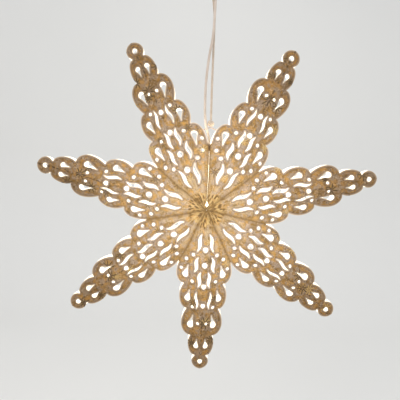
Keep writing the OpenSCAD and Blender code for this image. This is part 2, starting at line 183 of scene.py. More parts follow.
def makeGoldPaper():
    material, tree, shader = newMaterial("goldPaper", Roughness=0.5, Specular_IOR_Level=0.3)
    colours = {key: tint(*value) for key, value in printed.items() if isinstance(value, tuple) and max(value) > 2}
    place = readAttribute(tree, "printPlace", "Vector")
    along, across, seed = parted(tree, place)
    hole, cut, valley = (readAttribute(tree, name) for name in ("holeGap", "cutGap", "valleyGap"))

    def band(value, low, high, soft=0.3):   # 1 between low and high
        return times(tree, fade(tree, value, low - soft, low + soft), fade(tree, value, high + soft, high - soft))

    def laid(factor, strength, under, over):
        return mixColour(tree, times(tree, factor, strength), under, over)

    # Mottled ground, with pale streaks that run out from the middle of the star: printed streaks, made paler near the
    # middle as painted glow from the lamp
    colour = mixColour(tree, fade(tree, noise(tree, place, 0.075, 4.0, 0.6), 0.38, 0.62), colours["deepGold"], colours["gold"])
    other = noise(tree, vectorCalc(tree, "ADD", place, (31.0, 7.0, 5.0)), 0.12, 3.0)
    colour = laid(fade(tree, other, 0.46, 0.6), 0.75, colour, colours["halo"])
    fromMiddle = reachOf(tree, combined(tree, along, across))
    turn = calc(tree, "ARCTAN2", across, along)
    ray = combined(tree, times(tree, turn, 11.0), times(tree, fromMiddle, 0.035), seed)
    streak = times(tree, fade(tree, noise(tree, ray, 1.0, 3.0, 0.6), 0.42, 0.6), fade(tree, fromMiddle, 115.0, 45.0))
    colour = laid(streak, 0.8, colour, colours["streakGlowCream"])
    # Fine winding lines, dark and pale, that grow stronger towards the ends
    winding = noise(tree, vectorCalc(tree, "ADD", place, (7.0, 19.0, 2.0)), 0.13, 1.5)
    strong = fade(tree, fromMiddle, 50.0, 230.0, 0.45, 0.95)
    for level, key in ((0.40, "line"), (0.50, "line"), (0.60, "line"), (0.45, "paleLineAndLitEdge"), (0.55, "paleLineAndLitEdge")):
        thread = fade(tree, calc(tree, "ABSOLUTE", minus(tree, winding, level)), 0.013, 0.005)
        colour = laid(thread, times(tree, strong, 0.8 if key == "line" else 0.5), colour, colours[key])
    # Bands round each cut-out and along the scallops, with a dark line outside and a pale edge; the pale edge right at
    # the cut is painted light, the glow of the lit cut edge
    wobble = minus(tree, noise(tree, place, 0.3, 2.0), 0.5)
    for gap, width, strength in ((hole, printed["haloWidth"], 0.85), (cut, printed["rimWidth"], 0.8)):
        near = plus(tree, gap, times(tree, wobble, 1.6))
        colour = laid(fade(tree, near, width + 0.4, width - 0.4), strength, colour, colours["halo"])
        colour = laid(band(near, width, width + printed["lineWidth"]), 0.75, colour, colours["line"])
        colour = laid(band(near, width + 2.2, width + 2.5), 0.4, colour, colours["line"])
        # Painted light: the pale edge right at the cut stands for the glow of the lit cut edge
        colour = laid(fade(tree, gap, 1.4, 0.7), 0.75, colour, colours["paleLineAndLitEdge"])
    # Starbursts of tapered strokes: some scattered by a cell pattern, and a dark one on each point's outer half
    def starburst(under, x, y, first, size, dark, shown):
        reach = reachOf(tree, combined(tree, x, y))
        share = printed["flowerStrokes"] / (2 * pi)
        sector = times(tree, plus(tree, calc(tree, "ARCTAN2", y, x), first), share)
        offLine = calc(tree, "ABSOLUTE", minus(tree, calc(tree, "FRACT", sector), 0.5))
        aside = times(tree, offLine, calc(tree, "DIVIDE", reach, share))
        own = addNode(tree, "ShaderNodeTexWhiteNoise", {"W": plus(tree, calc(tree, "FLOOR", sector), times(tree, first, 50.0))},
            noise_dimensions="1D").outputs["Value"]
        length = times(tree, size, fade(tree, own, 0.0, 1.0, 0.65, 1.1))
        outward = calc(tree, "POWER", calc(tree, "MINIMUM", calc(tree, "DIVIDE", reach, length), 1.0), 1.4)
        arc = calc(tree, "SINE", times(tree, outward, pi))
        burst = fade(tree, minus(tree, times(tree, arc, printed["strokeWidth"]), aside), -0.15, 0.25)
        inner = mixColour(tree, dark, colours["lightStroke"], colours["stroke"])
        outer = mixColour(tree, dark, colours["stroke"], colours["lightStroke"])
        strokes = mixColour(tree, fade(tree, aside, 0.8, 1.2), inner, outer)
        return laid(times(tree, burst, shown), fade(tree, fromMiddle, 80.0, 210.0, 0.6, 0.95), under, strokes)

    cells = addNode(tree, "ShaderNodeTexVoronoi", {"Vector": place, "Scale": 1 / printed["flowerSpread"], "Randomness": 0.6})
    away = parted(tree, vectorCalc(tree, "SUBTRACT", place, cells.outputs["Position"]))
    chance = parted(tree, cells.outputs["Color"], "Color")
    picked = calc(tree, "GREATER_THAN", chance[0], fade(tree, fromMiddle, 60.0, 230.0, 0.5, 0.3))
    shown = times(tree, picked, fade(tree, fromMiddle, 40.0, 60.0))
    size = times(tree, fade(tree, chance[2], 0.0, 1.0, 0.7, 1.0), printed["flowerSize"])
    colour = starburst(colour, away[0], away[1], chance[1], size, calc(tree, "GREATER_THAN", chance[1], 0.35), shown)
    alongFlower = minus(tree, along, plus(tree, 214.0, times(tree, calc(tree, "SINE", seed), 9.0)))
    acrossFlower = minus(tree, across, times(tree, calc(tree, "COSINE", seed), 6.0))
    colour = starburst(colour, alongFlower, acrossFlower, seed, printed["flowerSize"] * 1.1, 1.0, 1.0)
    # Rosette of short strokes round the middle
    polar = combined(tree, plus(tree, times(tree, turn, 9.0), times(tree, seed, 3.1)), times(tree, fromMiddle, 0.15))
    strokes = addNode(tree, "ShaderNodeTexVoronoi", {"Vector": polar, "Scale": 1.0, "Randomness": 0.85},
        voronoi_dimensions="2D")
    shade = parted(tree, strokes.outputs["Color"], "Color")[0]
    ring = fade(tree, plus(tree, fromMiddle, times(tree, shade, 9.0)), printed["rosetteSize"] + 7.0, printed["rosetteSize"])
    dash = times(tree, ring, fade(tree, strokes.outputs["Distance"], 0.56, 0.4))
    colour = laid(ring, 0.5, colour, colours["gold"])
    dashColour = mixColour(tree, calc(tree, "GREATER_THAN", shade, 0.52), colours["valley"], colours["lightStroke"])
    colour = laid(dash, 0.9, colour, dashColour)
    # Dashes along the crease, and painted shade down in the valley folds
    broken = fade(tree, noise(tree, place, 0.22, 1.0), 0.48, 0.56)
    crease = times(tree, fade(tree, calc(tree, "ABSOLUTE", across), 2.0, 0.8), broken)
    colour = laid(crease, fade(tree, along, 60.0, 250.0, 0.15, 0.75), colour, colours["stroke"])
    # Painted shade: a soft darker band along each valley fold, and a darker line close to it
    colour = laid(fade(tree, valley, 8.0, 0.5), 0.45, colour, colours["deepGold"])
    deep = plus(tree, valley, times(tree, wobble, 5.0))
    colour = laid(fade(tree, deep, 2.6, 0.2), 0.5, colour, colours["valley"])
    # Painted shade: the base colour darkens towards the ends of the points, where less of the lamp's light comes
    # through
    darker = mixColour(tree, 1.0, colour, printed["paintedEndShade"] + (1.0,), "MULTIPLY")
    colour = mixColour(tree, fade(tree, fromMiddle, 120.0, 260.0), colour, darker)
    wire(shader, Base_Color=colour)
    wire(shader, Roughness=fade(tree, noise(tree, place, 0.9, 4.0), 0.3, 0.7, 0.42, 0.6))
    # The lamp's light through the paper, strongest some way out from the middle
    outerGlow = fade(tree, fromMiddle, 265.0, 40.0, 0.0, printed["glowMost"])
    glow = times(tree, outerGlow, fade(tree, fromMiddle, 5.0, 40.0, 0.72, 1.0))
    wire(shader, Emission_Color=mixColour(tree, 1.0, colour, printed["glow"] + (1.0,), "MULTIPLY"))
    wire(shader, Emission_Strength=glow)
    relief = plus(tree, times(tree, dash, 0.5), times(tree, noise(tree, place, 2.2, 5.0, 0.7), 0.35))
    addBump(tree, shader, relief, 0.35, 0.0003)
    return material


# The white inside of the paper and its cut edges, and how bright they are near the lamp and at the ends
insideLook = {"paper": (240, 236, 224), "fibre": (226, 217, 198), "light": (1.0, 0.96, 0.88), "farLight": (1.0, 0.93, 0.80),
    "root": 1.15, "tip": 0.8, "edgeRoot": 0.45, "edgeTip": 0.12}


def makeLitPaper(name, root, tip):
    material, tree, shader = newMaterial(name, Roughness=0.7, Specular_IOR_Level=0.2)
    place = objectPlace(tree)
    fromLamp = reachOf(tree, vectorCalc(tree, "SUBTRACT", place, (0.0, 0.0, -starDrop * mm)))
    fibre = noise(tree, place, 900.0, 4.0, 0.6)
    colour = mixColour(tree, fade(tree, fibre, 0.35, 0.7, 0.0, 0.35), tint(*insideLook["paper"]), tint(*insideLook["fibre"]))
    wire(shader, Base_Color=colour)
    light = mixColour(tree, fade(tree, fromLamp, 0.05, 0.3), insideLook["light"] + (1.0,), insideLook["farLight"] + (1.0,))
    wire(shader, Emission_Color=light)
    wire(shader, Emission_Strength=fade(tree, fromLamp, 0.04, 0.30, root, tip))
    addBump(tree, shader, fibre, 0.2, 0.0002)
    return material


goldPaper = makeGoldPaper()
litPaper = makeLitPaper("litPaper", insideLook["root"], insideLook["tip"])
cutEdge = makeLitPaper("cutPaperEdge", insideLook["edgeRoot"], insideLook["edgeTip"])
print("paper materials made")


def makePlastic(name, colour, rough, speckle=0.04):
    material, tree, shader = newMaterial(name, Roughness=rough, Specular_IOR_Level=0.45)
    place = objectPlace(tree)
    grain = noise(tree, place, 700.0, 3.0)
    dull = noise(tree, place, 55.0, 3.0)
    darker = tuple(c * 0.955 for c in colour)
    wire(shader, Base_Color=mixColour(tree, fade(tree, dull, 0.35, 0.7), tint(*colour), tint(*darker)))
    wire(shader, Roughness=fade(tree, grain, 0.3, 0.7, rough - 0.06, rough + 0.1))
    addBump(tree, shader, grain, 0.15, speckle * mm)
    return material


def makeMetal(name, colour, rough, stretch):
    material, tree, shader = newMaterial(name, Roughness=rough, Metallic=1.0)
    place = objectPlace(tree)
    brushed = noise(tree, vectorCalc(tree, "MULTIPLY", place, stretch), 400.0, 4.0, 0.6)
    worn = noise(tree, place, 90.0, 3.0)
    darker = tuple(c * 0.78 for c in colour)
    wire(shader, Base_Color=mixColour(tree, fade(tree, worn, 0.4, 0.75), tint(*colour), tint(*darker)))
    wire(shader, Roughness=fade(tree, brushed, 0.3, 0.7, rough - 0.08, rough + 0.12))
    addBump(tree, shader, brushed, 0.12, 0.05 * mm)
    return material


def makeCordMaterial(name, colour, shade, twist, rough, plies):
    material, tree, shader = newMaterial(name, Roughness=rough, Specular_IOR_Level=0.3)
    along, around = readAttribute(tree, "along"), readAttribute(tree, "around")
    turns = plus(tree, times(tree, along, twist), times(tree, around, plies))
    fibre = plus(tree, times(tree, calc(tree, "SINE", times(tree, turns, 2 * pi)), 0.5), 0.5)
    soil = noise(tree, objectPlace(tree), 60.0, 4.0)
    fine = noise(tree, objectPlace(tree), 2200.0, 2.0)
    mottle = plus(tree, times(tree, soil, 0.7), times(tree, fine, 0.3))
    colour = mixColour(tree, fade(tree, mottle, 0.35, 0.7), tint(*colour), tint(*shade))
    # Darker stripes along the twist: the strands' fibre, with painted shade in the grooves between the plies
    colour = mixColour(tree, times(tree, fade(tree, fibre, 0.35, 0.0), 0.3), colour, tint(*[c * 0.78 for c in shade]))
    height = parted(tree, objectPlace(tree))[2]
    # Painted shade: the cords are darker inside the star, where the paper shades them
    inside = fade(tree, height, -0.264, -0.288, 0.0, 0.8)   # painted shade inside the star
    colour = mixColour(tree, inside, colour, tint(*[c * 0.7 for c in shade]))
    wire(shader, Base_Color=colour)
    addBump(tree, shader, plus(tree, fibre, times(tree, fine, 0.5)), 0.4, 0.15 * mm)
    return material


cordSheath = makeCordMaterial("cordSheath", (220, 205, 192), (202, 185, 170), 0.0, 0.4, 0.0)
hangerTwist = makeCordMaterial("hangerTwist", (222, 206, 190), (200, 182, 164), 900.0, 0.85, 5.0)
threadTwist = makeCordMaterial("threadTwist", (212, 184, 164), (188, 160, 140), 1800.0, 0.85, 4.0)
whitePlastic = makePlastic("holderWhite", (228, 226, 219), 0.42)
ivoryPlastic = makePlastic("coreIvory", (220, 211, 186), 0.5)
cupPlastic = makePlastic("cupWhite", (226, 224, 217), 0.36)
contactBrass = makeMetal("contactBrass", (205, 172, 104), 0.3, (1.0, 1.0, 6.0))
capMetal = makeMetal("capNickel", (196, 192, 184), 0.28, (1.0, 1.0, 8.0))
zincSteel = makeMetal("zincSteel", (186, 188, 192), 0.36, (0.25, 4.0, 4.0))


def makeBulbGlass():
    material, tree, shader = newMaterial("bulbGlass", Roughness=0.25, Specular_IOR_Level=0.5)
    shader.inputs["Base Color"].default_value = tint(250, 244, 228)
    height = plus(tree, parted(tree, objectPlace(tree))[2], starDrop * mm)
    frost = noise(tree, objectPlace(tree), 500.0, 3.0)
    wire(shader, Emission_Strength=fade(tree, height, 0.026, 0.0, 1.5, 4.0))
    wire(shader, Emission_Color=mixColour(tree, fade(tree, frost, 0.3, 0.7), (1.0, 0.90, 0.72, 1.0), (1.0, 0.86, 0.64, 1.0)))
    addBump(tree, shader, frost, 0.1, 0.05 * mm)
    return material


bulbGlass = makeBulbGlass()
print("other materials made")


# Mesh helpers. Points are given in millimetres in the row frame.
def newPiece(name, points, faces, material=None, edges=()):
    mesh = bpy.data.meshes.new(name)
    mesh.from_pydata([tuple(float(c) * mm for c in p) for p in points], list(edges), [tuple(int(i) for i in f) for f in faces])
    if material:
        mesh.materials.append(material)
    piece = bpy.data.objects.new(name, mesh)
    sceneRoot.objects.link(piece)
    return piece


def facingOut(mesh):   # turns a closed shell the right way by the sign of its volume
    mesh.calc_loop_triangles()
    corners = np.array([mesh.vertices[i].co for t in mesh.loop_triangles for i in t.vertices]).reshape(-1, 3, 3)
    if np.einsum("ij,ij->i", corners[:, 0], np.cross(corners[:, 1], corners[:, 2])).sum() < 0:
        mesh.flip_normals()


def smoothed(piece, angle=35):
    piece.data.shade_smooth()
    piece.data.set_sharp_from_angle(angle=radians(angle))
    return piece


def plain(piece):   # the evaluated result becomes the piece's own mesh, and its modifiers go
    graph = bpy.context.evaluated_depsgraph_get()
    mesh = bpy.data.meshes.new_from_object(piece.evaluated_get(graph), depsgraph=graph)
    piece.modifiers.clear()
    old = piece.data
    piece.data = mesh
    mesh.name = piece.name
    if old.users == 0:
        bpy.data.meshes.remove(old)
    return piece


def softened(corners, closed, steps=4):
    soft = []
    count = len(corners)
    for i, (radius, height, rounding) in enumerate(corners):
        here = Vector((radius, height))
        if rounding == 0 or (not closed and i in (0, count - 1)):
            soft.append(here)
            continue
        before, after = Vector(corners[i - 1][:2]), Vector(corners[(i + 1) % count][:2])
        first = here + (before - here).normalized() * min(rounding, 0.48 * (before - here).length)
        last = here + (after - here).normalized() * min(rounding, 0.48 * (after - here).length)
        for k in range(steps + 1):
            t = k / steps
            soft.append(first * (1 - t) ** 2 + here * 2 * t * (1 - t) + last * t * t)
    return soft


# A turned shape from its section's corners (radius, height, rounding). An open section starts and ends on the
# axis. A thread waves the rows between two heights.
def turned(name, corners, base, material, sides=64, closed=False, thread=None, way="z"):
    section = softened(corners, closed)
    if thread:
        low, high, depth, pitch = thread
        rows = []
        loop = section + [section[0]] if closed else section
        for a, b in zip(loop, loop[1:]):
            rows.append(a)
            if abs(a.x - b.x) < 1e-6 and a.x > 0:
                count = max(1, int(abs(b.y - a.y) / (pitch / 8)))
                rows += [a.lerp(b, k / count) for k in range(1, count)]
        section = rows if closed else rows + [section[-1]]
    points, rings = [], []
    for spot in section:
        if spot.x < 1e-6:
            rings.append([len(points)] * sides)
            points.append((0.0, 0.0, spot.y))
            continue
        rings.append(list(range(len(points), len(points) + sides)))
        for k in range(sides):
            turn = 2 * pi * k / sides
            radius = spot.x
            if thread and low < spot.y < high:
                ends = min(1.0, (spot.y - low) / pitch, (high - spot.y) / pitch)
                radius += depth * ends * cos(2 * pi * spot.y / pitch - turn)
            points.append((radius * cos(turn), radius * sin(turn), spot.y))
    faces = []
    for i in range(len(rings) if closed else len(rings) - 1):
        lower, upper = rings[i], rings[(i + 1) % len(rings)]
        for k in range(sides):
            n = (k + 1) % sides
            face = list(dict.fromkeys((lower[k], lower[n], upper[n], upper[k])))
            if len(face) > 2:
                faces.append(face)
    if way == "x":
        points = [(z, y, -x) for x, y, z in points]
    elif way == "-x":
        points = [(-z, y, x) for x, y, z in points]
    piece = newPiece(name, [tuple(Vector(p) + Vector(base)) for p in points], faces, material)
    facingOut(piece.data)
    return smoothed(piece)


def joined(name, pieces):   # one object from several plain ones, keeping their materials
    points, faces, marks, materials = [], [], [], []
    for piece in pieces:
        start = len(points)
        points += [v.co / mm for v in piece.data.vertices]
        for face in piece.data.polygons:
            faces.append([start + i for i in face.vertices])
            material = piece.data.materials[face.material_index]
            if material not in materials:
                materials.append(material)
            marks.append(materials.index(material))
        bpy.data.meshes.remove(piece.data)
    whole = newPiece(name, points, faces)
    for material in materials:
        whole.data.materials.append(material)
    whole.data.polygons.foreach_set("material_index", marks)
    return smoothed(whole)


def drilled(piece, cutters):
    for cutter in cutters:
        cut = piece.modifiers.new("cut", "BOOLEAN")
        cut.object, cut.operation, cut.solver = cutter, "DIFFERENCE", "EXACT"
    plain(piece)
    for cutter in cutters:
        bpy.data.meshes.remove(cutter.data)
    return smoothed(piece)


def rod(radius, start, end, sides=32):   # a plain cutter between two points
    start, end = Vector(start), Vector(end)
    turn = (end - start).to_track_quat("Z", "Y")
    ring = [Vector((radius * cos(2 * pi * k / sides), radius * sin(2 * pi * k / sides), 0)) for k in range(sides)]
    points = [start + turn @ p for p in ring] + [end + turn @ p for p in ring]
    faces = [(k, (k + 1) % sides, sides + (k + 1) % sides, sides + k) for k in range(sides)]
    faces += [tuple(range(sides - 1, -1, -1)), tuple(range(sides, 2 * sides))]
    return newPiece("cutter", points, faces)


def placed(piece, slotName, *nodes):
    if nodes:
        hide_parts(*nodes)
    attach(piece, "root")
    return piece


# Geometry trees
def newTree(name, **sizes):
    tree = bpy.data.node_groups.new(name, "GeometryNodeTree")
    tree.interface.new_socket("Geometry", in_out="INPUT", socket_type="NodeSocketGeometry")
    tree.interface.new_socket("Geometry", in_out="OUTPUT", socket_type="NodeSocketGeometry")
    for key, kind in sizes.items():
        tree.interface.new_socket(key, in_out="INPUT", socket_type="NodeSocket" + kind)
    source = addNode(tree, "NodeGroupInput")
    return tree, {socket.name: socket for socket in source.outputs if socket.name}


def geo(tree, kind, inputs=None, **settings):
    return addNode(tree, "GeometryNode" + kind, inputs, **settings).outputs[0]


def endTree(tree, geometry, material):
    whole = addNode(tree, "GeometryNodeRealizeInstances", {"Geometry": geometry})
    painted = addNode(tree, "GeometryNodeSetMaterial", {"Geometry": whole.outputs[0], "Material": material})
    addNode(tree, "NodeGroupOutput", {"Geometry": painted.outputs[0]})
    return tree


def grown(piece, tree, values):
    modifier = piece.modifiers.new(tree.name, "NODES")
    modifier.node_group = tree
    for item in tree.interface.items_tree:
        if item.item_type == "SOCKET" and item.in_out == "INPUT" and item.name in values:
            modifier[item.identifier] = values[item.name]
    return plain(piece)


# Strands wound round a path: one strand without spread is a plain cord
def makeCordTree():
    tree, given = newTree("windStrands", Strands="Int", Spread="Float", Thickness="Float", Turns="Float", Step="Float",
        Material="Material")
    path = geo(tree, "MeshToCurve", {"Mesh": given["Geometry"]})
    path = geo(tree, "ResampleCurve", {"Curve": path, "Length": given["Step"]}, mode="LENGTH")
    length = addNode(tree, "GeometryNodeSplineParameter").outputs["Length"]
    path = geo(tree, "StoreNamedAttribute", {"Geometry": path, "Name": "along", "Value": length}, data_type="FLOAT",
        domain="POINT")
    copies = addNode(tree, "GeometryNodeDuplicateElements", {"Geometry": path, "Amount": given["Strands"]}, domain="SPLINE")
    share = calc(tree, "DIVIDE", copies.outputs["Duplicate Index"], given["Strands"])
    turn = times(tree, plus(tree, times(tree, length, given["Turns"]), share), 2 * pi)
    aside = addNode(tree, "ShaderNodeVectorRotate", {"Vector": geo(tree, "InputNormal"),
        "Axis": geo(tree, "InputTangent"), "Angle": turn}, rotation_type="AXIS_ANGLE").outputs[0]
    offset = vectorCalc(tree, "SCALE", aside, scale=given["Spread"])
    strands = geo(tree, "SetPosition", {"Geometry": copies.outputs["Geometry"], "Offset": offset})
    ring = geo(tree, "CurvePrimitiveCircle", {"Resolution": 12, "Radius": given["Thickness"]})
    ring = geo(tree, "StoreNamedAttribute", {"Geometry": ring, "Name": "around",
        "Value": addNode(tree, "GeometryNodeSplineParameter").outputs["Factor"]}, data_type="FLOAT", domain="POINT")
    body = geo(tree, "CurveToMesh", {"Curve": strands, "Profile Curve": ring, "Fill Caps": True})
    body = geo(tree, "SetShadeSmooth", {"Geometry": body})
    return endTree(tree, body, given["Material"])


cordTree = makeCordTree()


def smoothStep(value, low, high):
    t = np.clip((value - low) / (high - low), 0, 1)
    return t * t * (3 - 2 * t)


# In the photo the middle of the star hangs a little lower than its tips say, and the points lean away from the open
# seam. Moves and reaches are in millimetres, the angle counts from the bottom.
sag = {"middle": (-1.3, -3.0), "aside": 3.8, "turned": 0.5, "inward": 0.5, "outward": 1.3, "near": 20.0, "full": 60.0,
    "hold": 150.0, "end": 265.0, "seamFrom": 153.0}


def sagAt(x, z):   # how far the paper moves at a place, both seen from the front
    reach, turn = np.hypot(x, z), np.arctan2(-x, -z)
    fromBottom = np.degrees(np.abs(turn))
    aside = sag["turned"] + sag["aside"] * np.sign(turn) * np.sin(np.radians(np.minimum(fromBottom, 90)))
    aside = aside * (1 - smoothStep(fromBottom, sag["seamFrom"], 180))
    outward = sag["outward"] * np.cos(turn) - sag["inward"]
    start = smoothStep(reach, sag["near"], sag["full"])
    held = start * (1 - smoothStep(reach, sag["hold"], sag["end"]))
    return (held * (aside * np.cos(turn) - outward * np.sin(turn)) + (1 - start) * sag["middle"][0],
        held * (-aside * np.sin(turn) - outward * np.cos(turn)) + (1 - start) * sag["middle"][1])


def withPaper(spot):   # a place that is held by the paper moves with it
    moveX, moveZ = sagAt(spot[0], spot[2])
    share = smoothStep(abs(spot[0]), 14, 36)
    return (spot[0] + share * moveX, spot[1], spot[2] + share * moveZ)


def alongCurve(route, gap):   # a smooth curve through the route's points
    route = [Vector(p) for p in route]
    ends = [2 * route[0] - route[1]] + route + [2 * route[-1] - route[-2]]
    line = []
    for a, b, c, d in zip(ends, ends[1:], ends[2:], ends[3:]):
        count = max(1, round((c - b).length / gap))
        for k in range(count):
            t = k / count
            line.append(0.5 * (2 * b + (c - a) * t + (2 * a - 5 * b + 4 * c - d) * t * t + (3 * b - a - 3 * c + d) * t ** 3))
    return line + [route[-1]]


def makeCord(name, line, material, closed=False, **sizes):
    edges = [(i, i + 1) for i in range(len(line) - 1)] + ([(len(line) - 1, 0)] if closed else [])
    values = {key.capitalize(): value for key, value in sizes.items()}
    piece = grown(newPiece(name, line, [], edges=edges), cordTree, dict(values, Material=material))
    facingOut(piece.data)
    return piece


# Cord wound to a round knot, in turns that tilt one after the other
def knotLine(centre, radius, turns, tilt=62):
    line = []
    for k in range(turns * 24):
        t = 2 * pi * k / 24
        tilted = Matrix.Rotation(radians(tilt) * cos(t / turns), 3, "X")
        lean = Matrix.Rotation(t / turns * (turns - 1) / turns * 2, 3, "Z") @ tilted
        swell = 1 + 0.05 * sin(3 * t / turns)
        line.append(Vector(centre) + lean @ Vector((cos(t), sin(t), 0)) * radius * swell)
    return line


def atStar(points):
    return [(p[0], p[1], p[2] - starDrop) for p in points]


lampCord = {"diameter": 4.2, "route": [[0, 0, 58], [0, 0, 80], [0, 0, 96], [0, 0, 110], [-2.5, -1, 121], [-6.2, -2, 134],
    [-9, -3, 152], [-10, -4, 176], [-9.9, -4.5, 205], [-8.3, -5, 232], [-5.4, -5.2, 258], [-2.2, -5.2, 278],
    [-0.6, -5.2, 298], [0, -5.2, 320], [0.1, -4.6, 338], [0, -2, 352], [0, -0.3, 362], [0, 0, 370], [0, 0, 381]]}
hangerCord = {"diameter": 4.0, "route": [[1.5, 0, 145], [1.2, 0, 166], [0.8, 0, 190], [0.6, 0, 218], [0.6, 0, 246],
    [0.4, 0, 274], [0.3, 0, 302], [-0.8, 0, 326], [-3.6, 0, 345], [-7.4, 0, 358], [-11.6, 0, 367], [-13, 0, 373],
    [-13, 0, 376]]}
tieThread = {"diameter": 1.6, "route": [[-41.9, 33.8, 125.7], [-40.4, 31.8, 126.3], [-37, 28.4, 126.9], [-30, 22.6, 127.8],
    [-20, 14.8, 127.6], [-10, 7.2, 128.6], [-3, 1.5, 131.0], [1.5, 0, 131.9], [6, 2.5, 130.6], [13, 8.4, 128.4],
    [22, 16, 127.5], [31, 23.4, 127.1], [37, 28.4, 126.9], [40.4, 31.8, 126.3], [41.9, 33.8, 125.7]]}

lampLine = alongCurve(atStar(lampCord["route"]), 4)
hangerLine = alongCurve(atStar(hangerCord["route"][::-1]), 3)
tieLine = alongCurve(atStar([withPaper(p) for p in tieThread["route"]]), 2)
lampCordPiece = placed(makeCord("lamp_flex", lampLine, cordSheath, strands=1, spread=0.0,
    thickness=lampCord["diameter"] / 2 * mm, turns=0.0, step=0.002), "cord_sheath", "lamp_cord")
hangerPiece = placed(makeCord("hanging_cord", hangerLine, hangerTwist, strands=3, spread=hangerCord["diameter"] * 0.25 * mm,
    thickness=hangerCord["diameter"] * 0.255 * mm, turns=95.0, step=0.0009), "hanger_cord", "hanger_cord")
tiePiece = placed(makeCord("tie_cord", tieLine, threadTwist, strands=2, spread=tieThread["diameter"] * 0.24 * mm,
    thickness=tieThread["diameter"] * 0.26 * mm, turns=260.0, step=0.0005), "tie_thread", "tie_thread")

# Outer radii of the knots, and their middles
knots = {"hanger": 6.0, "stop": 5.5, "tie": 3.5, "hangerAt": (1.5, 0), "hangerUp": 139, "stopAt": (-13, 0, -19.1)}


def makeKnot(name, centre, outer, strand, material, turns=5):
    return makeCord(name, knotLine(centre, outer - strand, turns), material, closed=True, strands=1, spread=0.0,
        thickness=strand * mm, turns=0.0, step=0.0007)


hangerKnot = makeKnot("hanging_knot", (*knots["hangerAt"], knots["hangerUp"] - starDrop), knots["hanger"], 1.7, hangerTwist)
placed(hangerKnot, "hanger_cord", "hanger_knot")
stopKnot = makeKnot("cup_knot", knots["stopAt"], knots["stop"], 1.6, hangerTwist)
placed(stopKnot, "hanger_cord", "stop_knot")
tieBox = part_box("tie_knots")
tieMiddle = (Vector(tieBox[0]) + Vector(tieBox[1])) / 2 / mm
tieSide = Vector(tieBox[1])[0] / mm - knots["tie"]
tieEnds = atStar([withPaper((side * tieSide, tieMiddle[1], tieMiddle[2] + starDrop)) for side in (-1, 1)])
tieKnots = joined("tie_end_knots", [makeKnot("tieEnd", end, knots["tie"], 0.9, threadTwist, 6) for end in tieEnds])
placed(tieKnots, "tie_thread", "tie_knots")


def lengthOf(line):
    return sum((b - a).length for a, b in zip(map(Vector, line), map(Vector, line[1:]))) * mm


print("cord lengths:", [round(lengthOf(line), 4) for line in (lampLine, hangerLine, tieLine)])


print("cords made")

# The star's paper, in millimetres on the flat half petal
star = {
    "radius": 300.0, "height": 75.0, "tipHeight": 6.0, "sideFall": 0.445, "seamAngle": 3.2, "halfWidth": 49.5, "points": 7,
    "notch": 105.0, "paper": 0.5, "glueBand": 13.0, "middleHole": 0.4, "tipEnd": 14.0, "tipRound": 14.8, "dot": 4.25,
    "pip": 2.35, "drop": 5.0, "leaf": 2.8, "leafSlim": 1.35, "leafBend": 1.6, "grid": 3.0, "cutStep": 1.4, "warp": 2.0,
    "wallGap": 0.06, "curl": 0.4, "endFlat": 0.5, "seamSpread": 0.047, "seamDip": 0.75,
}
# How far the end of each point leans sideways, counter-clockwise, in millimetres
leans = [-3.2, -4.6, -1.0, 0.3, 4.0, 3.6, 2.2]
# Each scallop: where it is widest, how wide, where it ends, how wide there, as shares of radius and half width
scallops = [(0.393, 1.00, 0.463, 0.72), (0.537, 0.86, 0.620, 0.58), (0.713, 0.74, 0.787, 0.39), (0.830, 0.46, 0.913, 0.21)]
creaseDots = [(0.237, 1.0), (0.330, 1.0), (0.460, 0.95), (0.582, 0.9)]
pips = [(0.271, 0.416), (0.298, 0.653), (0.360, 0.824), (0.438, 0.418), (0.600, 0.364), (0.701, 0.15)]
drops = [((0.339, 0.582), (0.400, 0.673), 1.00), ((0.497, 0.495), (0.550, 0.564), 0.95),
    ((0.653, 0.329), (0.717, 0.412), 1.05), ((0.806, 0.149), (0.850, 0.172), 0.84)]
leaves = [((0.144, 0.136), (0.250, 0.284), 0.90), ((0.285, 0.238), (0.377, 0.352), 1.00),
    ((0.374, 0.130), (0.470, 0.210), 1.00), ((0.503, 0.245), (0.607, 0.225), 0.80)]
stepAngle = (360 - star["seamAngle"]) / star["points"]
halfAngle = radians(stepAngle / 2)
runFall = (star["height"] - star["tipHeight"]) / star["radius"]
sideFall = star["sideFall"]
lengthwise = sqrt(1 + runFall ** 2)
crosswise = sqrt(1 + runFall ** 2 + sideFall ** 2)


def flat(u, v):
    return Vector((lengthwise * u + runFall * sideFall / lengthwise * v, crosswise / lengthwise * v))


def spot(share):
    return flat(share[0] * star["radius"], share[1] * star["halfWidth"])


def circleLine(centre, radius, first=0.0, last=360.0, step=1.1):
    count = max(10, int(radians(abs(last - first)) * radius / step))
    whole = abs(last - first) == 360
    return [centre + radius * Vector((cos(radians(first + (last - first) * k / count)),
        sin(radians(first + (last - first) * k / count)))) for k in range(count + (0 if whole else 1))]


def dropLine(thin, middle, radius):   # round at one end, drawn out to a slim point at the other
    reach = (middle - thin).length
    ahead = (middle - thin).normalized()
    side = Vector((-ahead.y, ahead.x))
    count = 11
    half = []
    for k in range(1, count):
        t = k / count
        half.append((reach * t * 0.98, radius * (t ** 1.25) * sin(pi / 2 * min(1, 0.35 + 0.65 * t))))
    cap = [(reach + radius * sin(a), radius * cos(a)) for a in (pi / 2 * k / 8 for k in range(9))]
    half += cap
    return [thin] + [thin + ahead * a + side * b for a, b in half] + [thin + ahead * a - side * b for a, b in half[-2::-1]]


